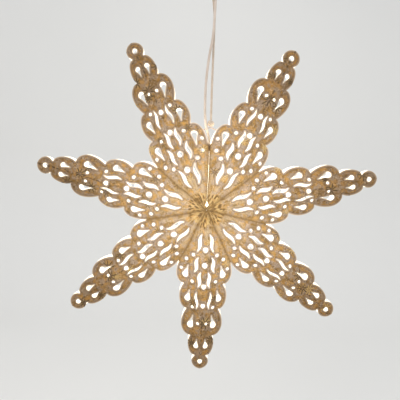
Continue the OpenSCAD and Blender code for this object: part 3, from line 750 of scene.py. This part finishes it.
def leafLine(inner, outer, width, steps=15):
    ahead = (outer - inner).normalized()
    side = Vector((-ahead.y, ahead.x))
    spine = [inner + (outer - inner) * k / steps + side * star["leafBend"] * sin(2 * pi * k / steps) for k in range(steps + 1)]
    wide = [width * max(0.0, sin(pi * k / steps)) ** star["leafSlim"] for k in range(steps + 1)]
    return [p - side * w for p, w in zip(spine, wide)] + [p + side * w for p, w in list(zip(spine, wide))[-2:0:-1]]


def scallopLine(start, shape, steps=12):
    u0, v0 = start
    u1, v1, u2, v2 = (share * star[size] for share, size in zip(shape, ("radius", "halfWidth") * 2))
    rise = [flat(u1 + (u0 - u1) * k, v1 + (v0 - v1) * k * k) for k in (1 - i / steps for i in range(steps))]
    fall = [flat(u1 + (u2 - u1) * sin(a), v2 + (v1 - v2) * cos(a)) for a in (pi / 2 * i / steps for i in range(steps))]
    return rise + fall


innerWall = star["notch"] - star["glueBand"]
# Reaches of the valley's points, close together near the middle
valleyStops = [star["middleHole"] / cos(halfAngle), 1.6, 3.0, 4.3, 5.4, 6.4, 7.4, 8.6, 10.0, 12.0, 15.0, 18.0]
valleyStops += list(np.linspace(21, innerWall, 18)) + list(np.linspace(innerWall, star["notch"], 5)[1:])
valleyLine = [flat(r * cos(halfAngle), r * sin(halfAngle)) for r in valleyStops]
cutLine = []
start = (star["notch"] * cos(halfAngle), star["notch"] * sin(halfAngle))
for shape in scallops:
    cutLine += scallopLine(start, shape)
    start = (shape[2] * star["radius"], shape[3] * star["halfWidth"])
tipAlong = star["radius"] - star["tipEnd"]
tipCentre = flat(tipAlong, 0)
pinch = flat(*start)
tipTurn = 180 - degrees(asin(min(0.99, start[1] / star["tipRound"])))
tipPlan = circleLine(Vector((tipAlong, 0)), star["tipRound"], tipTurn, 0.0, star["cutStep"])
cutLine += [pinch] + [flat(p.x, p.y) for p in tipPlan]
creaseLine = []
allDots = [(tipCentre, star["dot"])] + [(flat(u * star["radius"], 0), star["dot"] * share) for u, share in creaseDots[::-1]]
dotLines = [circleLine(centre, radius, 0.0, 180.0) for centre, radius in allDots]
for dotLine, nextDot in zip(dotLines, dotLines[1:] + [None]):
    creaseLine += dotLine
    end = nextDot[0].x if nextDot else flat(star["middleHole"], 0).x
    gap = dotLine[-1].x - end
    creaseLine += [Vector((dotLine[-1].x - gap * k / int(gap / 4 + 1), 0.0)) for k in range(1, int(gap / 4 + 1))]
creaseLine.append(flat(star["middleHole"], 0))
outline = valleyLine + cutLine[1:] + creaseLine
holes = [circleLine(spot(p), star["pip"]) for p in pips]
holes += [dropLine(spot(a), spot(b), star["drop"] * share) for a, b, share in drops]
holes += [leafLine(spot(a), spot(b), star["leaf"] * share) for a, b, share in leaves]


def within(points, polygon):
    x, y = points[:, 0][:, None], points[:, 1][:, None]
    a = np.array(polygon)
    b = np.roll(a, -1, axis=0)
    crossing = (b[:, 0] - a[:, 0]) * (y - a[:, 1]) / (b[:, 1] - a[:, 1] + 1e-12) + a[:, 0]
    crosses = ((a[:, 1] > y) != (b[:, 1] > y)) & (x < crossing)
    return crosses.sum(axis=1) % 2 == 1


def distanceTo(points, lines, closed):
    best = np.full(len(points), 1e9)
    for line in lines:
        a = np.array(line)
        b = np.roll(a, -1, axis=0)
        if not closed:
            a, b = a[:-1], b[:-1]
        along = b - a
        t = np.clip(((points[:, None] - a) * along).sum(axis=2) / (along ** 2).sum(axis=1).clip(1e-9), 0, 1)
        best = np.minimum(best, np.linalg.norm(points[:, None] - a - t[..., None] * along, axis=2).min(axis=1))
    return best


def flatHalfPetal():
    loops = [outline] + holes
    # Rings of points round the cut-outs, then a grid in what is left
    wanted = []
    for distance, step in ((1.0, 1.6), (2.5, 2.2)):
        for loop in holes + dotLines:
            ring = np.array(loop)
            ahead = np.roll(ring, -1, axis=0) - np.roll(ring, 1, axis=0)
            side = np.stack([ahead[:, 1], -ahead[:, 0]], axis=1) / np.linalg.norm(ahead, axis=1).clip(1e-9)[:, None]
            for way in (1, -1):
                spots = ring + side * distance * way
                keep = np.abs(distanceTo(spots, loops, True) - distance) < 0.12 * distance
                wanted += list(spots[keep])
    g = star["grid"]
    high = max(p.y for p in outline)
    far = max(p.x for p in outline)
    rows = int(high / (g * 0.87)) + 1
    wanted += [np.array(((i + 0.5 * (j % 2)) * g, j * g * 0.87 + 0.4)) for j in range(rows) for i in range(int(far / g) + 1)]
    wanted = np.array(wanted)
    wanted = wanted[within(wanted, outline)]
    for loop in holes:
        wanted = wanted[~within(wanted, loop)]
    wanted = wanted[distanceTo(wanted, loops, True) > 0.8]
    chosen = np.empty((0, 2))
    for p in wanted:
        if len(chosen) == 0 or np.min(np.sum((chosen - p) ** 2, axis=1)) > 1.7:
            chosen = np.vstack([chosen, p])
    points, edges = [], []
    for loop in loops:
        first = len(points)
        points += [Vector(p) for p in loop]
        edges += [(first + k, first + (k + 1) % len(loop)) for k in range(len(loop))]
    points += [Vector(p) for p in chosen]
    points, _, faces, _, _, _ = delaunay_2d_cdt(points, edges, [], 0, 1e-5)
    points = np.array([tuple(p) for p in points])
    faces = np.array([tuple(f) for f in faces if len(f) == 3])
    middles = points[faces].mean(axis=1)
    inPaper = within(middles, outline)
    for loop in holes:
        inPaper &= ~within(middles, loop)
    faces = faces[inPaper]
    a, b, c = (points[faces[:, k]] for k in range(3))
    area = (b[:, 0] - a[:, 0]) * (c[:, 1] - a[:, 1]) - (b[:, 1] - a[:, 1]) * (c[:, 0] - a[:, 0])
    faces = faces[np.abs(area) > 1e-4]
    area = area[np.abs(area) > 1e-4]
    faces[area < 0] = faces[area < 0][:, ::-1]
    used, faces = np.unique(faces, return_inverse=True)
    return points[used], faces.reshape(-1, 3)


def valleyHeight(r):
    return star["height"] - (runFall + sideFall * tan(halfAngle)) * cos(halfAngle) * r


def unflat(points):
    v = points[:, 1] * lengthwise / crosswise
    return (points[:, 0] - runFall * sideFall / lengthwise * v) / lengthwise, v


sheetPoints, sheetFaces = flatHalfPetal()
gaps = {"holeGap": np.minimum(distanceTo(sheetPoints, holes, True), distanceTo(sheetPoints, dotLines, False)),
    "cutGap": distanceTo(sheetPoints, [cutLine], False), "valleyGap": distanceTo(sheetPoints, [valleyLine], False)}
notchAlong = star["notch"] * cos(halfAngle)


def makeQuarter(name, atSeam):   # half a front petal and the upper half of its wall
    u, v = unflat(sheetPoints)
    # The free scallops curl a little towards the back, and the fold grows flatter towards the end
    edgeU, edgeV = unflat(np.array(cutLine))
    ending = smoothStep(u, 190, 285)
    towardsEdge = np.clip(v / np.interp(u, edgeU, edgeV).clip(4), 0, 1)
    curl = star["curl"] * smoothStep(u, notchAlong, notchAlong + 35) * (1 - ending) * towardsEdge ** 1.5
    height = star["height"] - runFall * u - sideFall * v * (1 - star["endFlat"] * ending)
    places = np.stack([u, v, height * (1 - curl)], axis=1)
    slope = sqrt(1 + ((star["height"] - valleyHeight(1.0)) ** 2))
    band = star["glueBand"] * slope
    wallPoints, wallFaces, rows = [], [], []
    for r in valleyStops:
        heights = [valleyHeight(r), valleyHeight(r) - band] + ([0.0] if r >= innerWall - 1e-6 else [])
        rows.append(range(len(places) + len(wallPoints), len(places) + len(wallPoints) + len(heights)))
        wallPoints += [(r * cos(halfAngle), r * sin(halfAngle), h) for h in heights]
    for near, far in zip(rows, rows[1:]):
        for k in range(min(len(near), len(far)) - 1):
            wallFaces.append((near[k], far[k], far[k + 1], near[k + 1]))
    places = np.vstack([places, np.array(wallPoints)])
    shift = np.clip(places[:, 1] / (places[:, 0] * tan(halfAngle)), 0, 1)
    places[:, 1] -= star["wallGap"] * shift
    if atSeam:   # the two halves at the seam lie closer, and open in a small drop near the middle
        far = places[:, 0]
        places[:, 1] *= 1 + star["seamSpread"] * (1 - smoothStep(far, notchAlong - 18, notchAlong + 14))
        places[:, 1] *= 1 - star["seamDip"] * smoothStep(far, 3.4, 6.4) * (1 - smoothStep(far, 7.4, 11.5))
    quarter = newPiece(name, places, list(map(tuple, sheetFaces)) + wallFaces)
    extra = len(wallPoints)
    free = np.clip((u - star["notch"] * 0.9) / 60, 0, 1) * np.clip(v / 20, 0, 1)
    for key, values, rest in [(key, gaps[key], 0.0 if key == "valleyGap" else 20.0) for key in gaps] + [("free", free, 0.0)]:
        layer = quarter.data.attributes.new(key, "FLOAT", "POINT")
        layer.data.foreach_set("value", np.concatenate([values, np.full(extra, rest)]).astype(np.float32))
    return quarter


# Unfolds a quarter to a whole point, warps it a little and turns it to its place in the star
def makePointTree():
    tree, given = newTree("foldPoint", OtherHalf="Object", Turn="Float", Lean="Float", Drop="Float", Seed="Float",
        Warp="Float", Material="Material")

    def mirrored(geometry, source, scale):
        other = geo(tree, "Transform", {"Geometry": source, "Scale": scale})
        other = geo(tree, "FlipFaces", {"Mesh": other})
        both = addNode(tree, "GeometryNodeJoinGeometry")
        tree.links.new(geometry, both.inputs[0])
        tree.links.new(other, both.inputs[0])
        return both.outputs[0]

    otherHalf = addNode(tree, "GeometryNodeObjectInfo", {"Object": given["OtherHalf"]}).outputs["Geometry"]
    front = mirrored(given["Geometry"], otherHalf, (1, -1, 1))
    whole = mirrored(front, front, (1, 1, -1))
    whole = geo(tree, "MergeByDistance", {"Geometry": whole, "Distance": 0.00002})
    place = geo(tree, "InputPosition")
    parts = parted(tree, vectorCalc(tree, "SCALE", place, scale=1000.0))
    seed = plus(tree, times(tree, given["Seed"], 61.0), times(tree, calc(tree, "SIGN", parts[2]), 13.0))
    onSheet = combined(tree, parts[0], parts[1], seed)
    whole = geo(tree, "StoreNamedAttribute", {"Geometry": whole, "Name": "printPlace", "Value": onSheet},
        data_type="FLOAT_VECTOR", domain="POINT")
    free = addNode(tree, "GeometryNodeInputNamedAttribute", {"Name": "free"}, data_type="FLOAT").outputs["Attribute"]
    ripple = addNode(tree, "ShaderNodeTexNoise", {"Vector": onSheet, "Scale": 0.022, "Detail": 1.0}).outputs["Fac"]
    amount = times(tree, times(tree, minus(tree, ripple, 0.5), given["Warp"]), free)
    offset = vectorCalc(tree, "SCALE", geo(tree, "InputNormal"), scale=amount)
    whole = geo(tree, "SetPosition", {"Geometry": whole, "Offset": offset})
    # The end leans sideways, the more the farther out
    aside = times(tree, fade(tree, parts[0], 95.0, 286.0), given["Lean"])
    whole = geo(tree, "SetPosition", {"Geometry": whole, "Offset": combined(tree, y=aside)})
    turn = addNode(tree, "FunctionNodeEulerToRotation", {0: combined(tree, z=given["Turn"])}).outputs[0]
    whole = geo(tree, "Transform", {"Geometry": whole, "Rotation": turn})
    down = combined(tree, z=times(tree, given["Drop"], -1.0))
    whole = geo(tree, "Transform", {"Geometry": whole, "Rotation": Euler((pi / 2, 0, 0)), "Translation": down})
    return endTree(tree, whole, given["Material"])


def sagged(piece):
    spots = np.empty(len(piece.data.vertices) * 3, np.float32)
    piece.data.vertices.foreach_get("co", spots)
    spots = spots.reshape(-1, 3)
    moveX, moveZ = sagAt(spots[:, 0] / mm, spots[:, 2] / mm + starDrop)
    spots[:, 0] += moveX * mm
    spots[:, 2] += moveZ * mm
    piece.data.vertices.foreach_set("co", spots.ravel())
    piece.data.update()


pointTree = makePointTree()
plainHalf, seamHalf = makeQuarter("plainHalf", False), makeQuarter("seamHalf", True)
for number in range(1, star["points"] + 1):
    turn = 90 - star["seamAngle"] / 2 - (number - 0.5) * stepAngle
    point = bpy.data.objects.new(f"paper_point_{number}", (seamHalf if number == 1 else plainHalf).data.copy())
    sceneRoot.objects.link(point)
    grown(point, pointTree, {"OtherHalf": seamHalf if number == star["points"] else plainHalf, "Turn": radians(turn),
        "Lean": leans[number - 1] * mm, "Drop": starDrop * mm, "Seed": float(number), "Warp": star["warp"] * mm,
        "Material": goldPaper})
    point.data.materials.append(litPaper)
    point.data.materials.append(cutEdge)
    card = point.modifiers.new("card", "SOLIDIFY")
    card.thickness, card.offset = star["paper"] * mm, -1
    card.use_even_offset = card.use_quality_normals = True
    card.material_offset, card.material_offset_rim = 1, 2
    sagged(plain(point))
    smoothed(point, 28)
    placed(point, "gold_paper", f"point_{number}")
    if number == 1:
        print("one point:", len(point.data.polygons), "faces")
for half in (plainHalf, seamHalf):
    bpy.data.meshes.remove(half.data)
print("paper points made")

# Lamp. Each section lists its corners' radius, height over the star's middle and rounding, in millimetres. A thread
# has its lowest and highest place, depth and pitch.
lamp = {
    "globe": 22.5, "globeHeight": -4.0, "low": -26.5, "neck": 7.5, "neckTop": 24.7, "ribs": 28,
    "screwThread": (27.8, 39.0, 0.3, 2.8), "sleeveThread": (29.6, 44.8, 0.3, 2.8),
    "shoulder": [(13.6, 15.2, 0), (11.0, 18.6, 0), (9.0, 21.4, 0), (7.9, 23.4, 0)],
    "cap": [(0, 24.5, 0), (7.6, 24.5, 0), (7.6, 26.5, 0.5), (6.6, 27.6, 0.4), (6.6, 39.2, 0.6), (5.2, 40.6, 0.4),
        (3.4, 41.8, 0), (0, 41.8, 0)],
    "seal": [(0, 41.6, 0), (3.5, 41.6, 0), (3.3, 42.6, 0.3), (0, 42.6, 0)],
    "contact": [(0, 42.4, 0), (2.2, 42.4, 0), (2.1, 43.2, 0.5), (0, 43.5, 0)],
    "skirt": [(14.0, 20.0, 0.6), (14.0, 22.6, 0.3), (13.6, 23.0, 0.2), (13.6, 52.4, 0.2), (14.0, 52.8, 0.3), (14.0, 54.0, 0.3),
        (12.2, 54.0, 0.3), (12.2, 20.0, 0.6)],
    "dome": [(14.0, 54.0, 0.4), (14.0, 58.6, 1.4), (12.2, 61.0, 2.0), (7.8, 65.4, 2.0), (6.3, 66.4, 0.6), (6.2, 68.0, 0.7),
        (2.3, 68.0, 0.5), (2.3, 58.4, 0.2), (12.2, 58.2, 0.8), (12.2, 54.0, 0.2)],
    "core": [(11.9, 46.0, 0.5), (11.9, 54.0, 0.5), (2.3, 54.0, 0.3), (2.3, 47.2, 0.1), (4.0, 47.2, 0.1), (4.0, 46.0, 0.2)],
    "sleeve": [(7.5, 29.0, 0), (7.5, 45.5, 0), (11.9, 45.5, 0), (11.9, 46.0, 0), (7.0, 46.0, 0), (7.0, 29.0, 0)],
    "spring": [(0, 43.8, 0), (2.6, 43.8, 0.4), (3.3, 44.6, 0.6), (3.3, 47.2, 0.3), (0, 47.2, 0)],
}


def lampPart(name, material, sides=64, **settings):
    return turned(name, lamp[name], (0, 0, -starDrop), material, sides, **settings)


lamp["glass"] = [(0.0, lamp["low"], 0)]
for k in range(1, 27):   # down to the shoulder, then in to the neck
    a = radians(k * 5)
    lamp["glass"].append((lamp["globe"] * sin(a), lamp["globeHeight"] - lamp["globe"] * cos(a), 0))
lamp["glass"] += lamp["shoulder"] + [(lamp["neck"], lamp["neckTop"], 0), (0.0, lamp["neckTop"], 0)]
bulb = [lampPart("glass", bulbGlass), lampPart("cap", capMetal, 48, thread=lamp["screwThread"]),
    lampPart("seal", makePlastic("sealGlass", (52, 48, 46), 0.25), 32), lampPart("contact", capMetal, 32)]
placed(joined("frosted_bulb", bulb), "bulb_glass", "bulb")


# Ribs set round a turned part
def makeRibTree():
    tree, given = newTree("ribsAround", Count="Int", Radius="Float", Height="Float", Material="Material")
    ring = geo(tree, "MeshCircle", {"Vertices": given["Count"], "Radius": given["Radius"]})
    turn = times(tree, calc(tree, "DIVIDE", geo(tree, "InputIndex"), given["Count"]), 2 * pi)
    turn = addNode(tree, "FunctionNodeEulerToRotation", {0: combined(tree, z=turn)}).outputs[0]
    ribs = geo(tree, "InstanceOnPoints", {"Points": ring, "Instance": given["Geometry"], "Rotation": turn})
    ribs = geo(tree, "Transform", {"Geometry": ribs, "Translation": combined(tree, z=given["Height"])})
    return endTree(tree, ribs, given["Material"])


ribTree = makeRibTree()


def ribsOn(count, radius, height, width, length, depth, lean, material):
    # one rounded rib, leaning in by lean towards its lower end
    section = [(cos(a) * depth, sin(a) * width / 2) for a in (pi * k / 6 - pi / 2 for k in range(7))]
    points, faces = [], []
    for z, grow in ((0, 0.35), (0.12 * length, 1.0), (0.88 * length, 1.0), (length, 0.35)):
        points += [(x * grow - lean * (1 - z / length), y * grow, z) for x, y in section]
    for i in range(3):
        faces += [(7 * i + k, 7 * i + (k + 1) % 7, 7 * i + 7 + (k + 1) % 7, 7 * i + 7 + k) for k in range(7)]
    faces += [tuple(range(6, -1, -1)), tuple(range(21, 28))]
    ribs = grown(newPiece("ribs", points, faces), ribTree,
        {"Count": count, "Radius": radius * mm, "Height": height * mm, "Material": material})
    facingOut(ribs.data)
    return ribs


skirtRibs = ribsOn(lamp["ribs"], 13.5, 25.0 - starDrop, 1.1, 26.0, 0.5, 0.0, whitePlastic)
placed(joined("ribbed_skirt", [lampPart("skirt", whitePlastic, closed=True), skirtRibs]), "holder_plastic", "holder_skirt")
placed(joined("domed_cap", [lampPart("dome", whitePlastic, closed=True)]), "holder_plastic", "holder_dome")
placed(joined("holder_base", [lampPart("core", ivoryPlastic, closed=True)]), "core_plastic", "holder_core")
sleeve = lampPart("sleeve", contactBrass, 48, closed=True, thread=lamp["sleeveThread"])
placed(joined("threaded_sleeve", [sleeve]), "contact_brass", "screw_sleeve")
placed(joined("contact_spring", [lampPart("spring", contactBrass, 32)]), "contact_brass", "centre_contact")
print("lamp made")

# Ceiling cup and what is on it, in millimetres from the ceiling
cup = {
    "screwHeight": -7.5, "screwHole": 1.8, "gripHole": 4.8, "cordHole": 2.5, "cordAt": -13.0, "nutHole": 4.6, "ribs": 16,
    "body": [(0.0, -26.0, 0), (34.1, -26.0, 3.2), (38.0, 0.0, 0.5), (36.0, 0.0, 0.5), (32.4, -24.0, 2.4), (0.0, -24.0, 0)],
    "grip": [(6.0, -26.0, 0.3), (4.5, -26.0, 0), (4.5, -19.0, 0.4), (2.3, -19.0, 0.3), (2.3, -35.0, 0.5), (4.2, -35.0, 0.9)],
    "nut": [(0, -24.0, 0), (6.2, -24.0, 0), (6.5, -23.6, 0), (6.5, -20.4, 0), (6.2, -20.0, 0), (0, -20.0, 0)],
    "screw": [(0, 31.5, 0), (1.2, 31.5, 0.3), (1.45, 32.2, 0), (1.45, 37.2, 0), (2.9, 37.2, 0.2), (2.9, 37.9, 0.5),
        (2.0, 38.7, 0.5), (0, 38.9, 0)],
    "screwThread": (31.9, 36.0, 0.12, 0.7), "slotAt": 38.6, "slotDeep": 0.7, "slotLong": 2.0, "slotWide": 0.25,
}
cupBody = turned("cup", cup["body"], (0, 0, 0), cupPlastic, 96)
cutters = [rod(cup["gripHole"], (0, 0, -30), (0, 0, -20))]
cutters.append(rod(cup["cordHole"], (cup["cordAt"], 0, -30), (cup["cordAt"], 0, -20)))
cutters += [rod(cup["screwHole"], (side * 28, 0, cup["screwHeight"]), (side * 44, 0, cup["screwHeight"])) for side in (-1, 1)]
placed(drilled(cupBody, cutters), "cup_plastic", "ceiling_cup")
gripRibs = ribsOn(cup["ribs"], 5.6, -33.6, 1.0, 6.6, 0.45, 1.15, cupPlastic)
gripBody = turned("grip", cup["grip"], (0, 0, 0), cupPlastic, 48, closed=True)
placed(joined("ribbed_grip", [gripBody, gripRibs]), "cup_plastic", "cord_grip")
nutBody = turned("nut", cup["nut"], (0, 0, 0), cupPlastic, 6)
placed(drilled(nutBody, [rod(cup["nutHole"], (0, 0, -25), (0, 0, -19))]), "cup_plastic", "grip_nut")


def softBox(name, low, high, rounding, material):
    points = [(x, y, z) for z in (low[2], high[2]) for y in (low[1], high[1]) for x in (low[0], high[0])]
    faces = [(0, 2, 3, 1), (4, 5, 7, 6), (0, 1, 5, 4), (2, 6, 7, 3), (0, 4, 6, 2), (1, 3, 7, 5)]
    piece = newPiece(name, points, faces, material)
    bevel = piece.modifiers.new("soft", "BEVEL")
    bevel.width, bevel.segments = rounding * mm, 3
    return plain(piece)


block = {
    "low": (-6.5, -12, -19), "high": (6.5, 12, -8), "rounding": 0.8, "bores": (-7.2, 7.2), "boreHeight": -13.5, "wireBore": 1.7,
    "screwBore": 1.5, "fixingBore": 1.1, "slot": 0.25,
    "tube": [(1.6, -5.5, 0.2), (1.6, 5.5, 0.2), (1.2, 5.5, 0.1), (1.2, -5.5, 0.1)],
    "screw": [(0, -12.4, 0), (1.35, -12.4, 0.2), (1.35, -9.2, 0.3), (0, -9.2, 0)],
}
middle = block["boreHeight"]
blockCutters = [rod(block["wireBore"], (-9, y, middle), (9, y, middle), 24) for y in block["bores"]]
blockCutters += [rod(block["screwBore"], (0, y, middle), (0, y, -5), 24) for y in block["bores"]]
blockCutters.append(rod(block["fixingBore"], (0, 0, -20), (0, 0, -7), 24))
blockBody = softBox("block", block["low"], block["high"], block["rounding"], ivoryPlastic)
placed(drilled(blockBody, blockCutters), "core_plastic", "terminal_block")
terminals = []
for y in block["bores"]:
    terminals.append(turned("tube", block["tube"], (0, y, middle), contactBrass, 24, closed=True, way="x"))
    slot = softBox("slot", (-2, y - block["slot"], -9.9), (2, y + block["slot"], -8), 0.01, None)
    terminals.append(drilled(turned("screw", block["screw"], (0, y, 0), zincSteel, 24), [slot]))
placed(joined("terminal_screws", terminals), "contact_brass")

sideScrews = []
for side, way in ((1, "x"), (-1, "-x")):
    body = turned("sideScrew", cup["screw"], (0, 0, cup["screwHeight"]), zincSteel, 32, thread=cup["screwThread"], way=way)
    slots = []
    for wide, high in ((cup["slotLong"], cup["slotWide"]), (cup["slotWide"], cup["slotLong"])):   # a cross in the head
        corners = [(side * cup["slotAt"] + end * cup["slotDeep"], end * wide, cup["screwHeight"] + end * high)
            for end in (-1, 1)]
        slots.append(softBox("slot", *corners, 0.01, None))
    sideScrews.append(drilled(body, slots))
placed(joined("cup_side_screws", sideScrews), "bar_steel", "cup_screws")
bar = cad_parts["fixing_bar"]
bar.data.materials.clear()
bar.data.materials.append(zincSteel)
print("ceiling cup made")

# Pale floor and backdrop in one curved sheet, and soft light
studio = {"floor": -1.15, "back": 2.2, "front": -4.2, "half": 4.2, "high": 4.0, "bend": 0.8, "shade": (238, 237, 234),
    "far": (0.78, 0.77, 0.75, 1.0), "fadeFrom": 2.8, "fadeTo": 3.9}
run = [(studio["front"], studio["floor"])]
run += [(studio["back"] - studio["bend"] + studio["bend"] * sin(a), studio["floor"] + studio["bend"] * (1 - cos(a)))
    for a in (pi / 2 * k / 12 for k in range(13))]
run.append((studio["back"], studio["high"]))
sheet = newPiece("backdrop", [(x * studio["half"] * 1000, y * 1000, z * 1000) for y, z in run for x in (-1, 1)],
    [(2 * k, 2 * k + 1, 2 * k + 3, 2 * k + 2) for k in range(len(run) - 1)])
sheet.data.shade_smooth()


def seenRays(tree):
    rays = addNode(tree, "ShaderNodeLightPath").outputs
    mirrored = calc(tree, "MAXIMUM", rays["Is Glossy Ray"], rays["Is Transmission Ray"])
    return calc(tree, "MAXIMUM", rays["Is Camera Ray"], mirrored)


def makeBackdrop():
    material, tree, shader = newMaterial("paleBackdrop", Roughness=0.9, Specular_IOR_Level=0.1)
    place = objectPlace(tree)
    soft = noise(tree, place, 1.2, 2.0)
    wire(shader, Base_Color=mixColour(tree, soft, tint(*studio["shade"]), tint(*[c - 4 for c in studio["shade"]])))
    # Far from the star it goes over to the world's tone, so that its edge doesn't show
    reach = reachOf(tree, vectorCalc(tree, "SUBTRACT", place, (0.0, 0.0, -starDrop * mm)))
    far = times(tree, fade(tree, reach, studio["fadeFrom"], studio["fadeTo"]), seenRays(tree))
    tone = addNode(tree, "ShaderNodeEmission", {"Color": studio["far"]}).outputs[0]
    both = addNode(tree, "ShaderNodeMixShader", {0: far, 1: shader.outputs[0], 2: tone}).outputs[0]
    tree.links.new(both, tree.nodes["Material Output"].inputs["Surface"])
    return material


sheet.data.materials.append(makeBackdrop())

world = bpy.data.worlds.new("studio")
bpy.context.scene.world = world
world.use_nodes = True
sky = world.node_tree
background = sky.nodes["Background"]
seen = seenRays(sky)
sky.links.new(mixColour(sky, seen, (0.80, 0.82, 0.85, 1.0), studio["far"]), background.inputs["Color"])
sky.links.new(fade(sky, seen, 0.0, 1.0, 0.85, 1.0), background.inputs["Strength"])

# Name, place, size, power and colour of each light
lights = [("key", (-1.3, -1.7, 0.9), 1.3, 16.0, (1.0, 0.96, 0.9)), ("fill", (1.6, -1.4, 0.2), 1.6, 7.0, (0.94, 0.97, 1.0)),
    ("top", (0.3, 0.6, 1.5), 1.8, 12.0, (1.0, 0.98, 0.95))]
for name, place, size, power, colour in lights:
    light = bpy.data.objects.new(name, bpy.data.lights.new(name, "AREA"))
    light.data.size, light.data.energy, light.data.color = size, power, colour
    light.location = place
    light.rotation_mode = "QUATERNION"
    light.rotation_quaternion = (Vector((0, 0, -0.38)) - Vector(place)).to_track_quat("-Z", "Y")
    sceneRoot.objects.link(light)
bpy.context.scene.view_settings.view_transform = "Standard"
print("studio made")
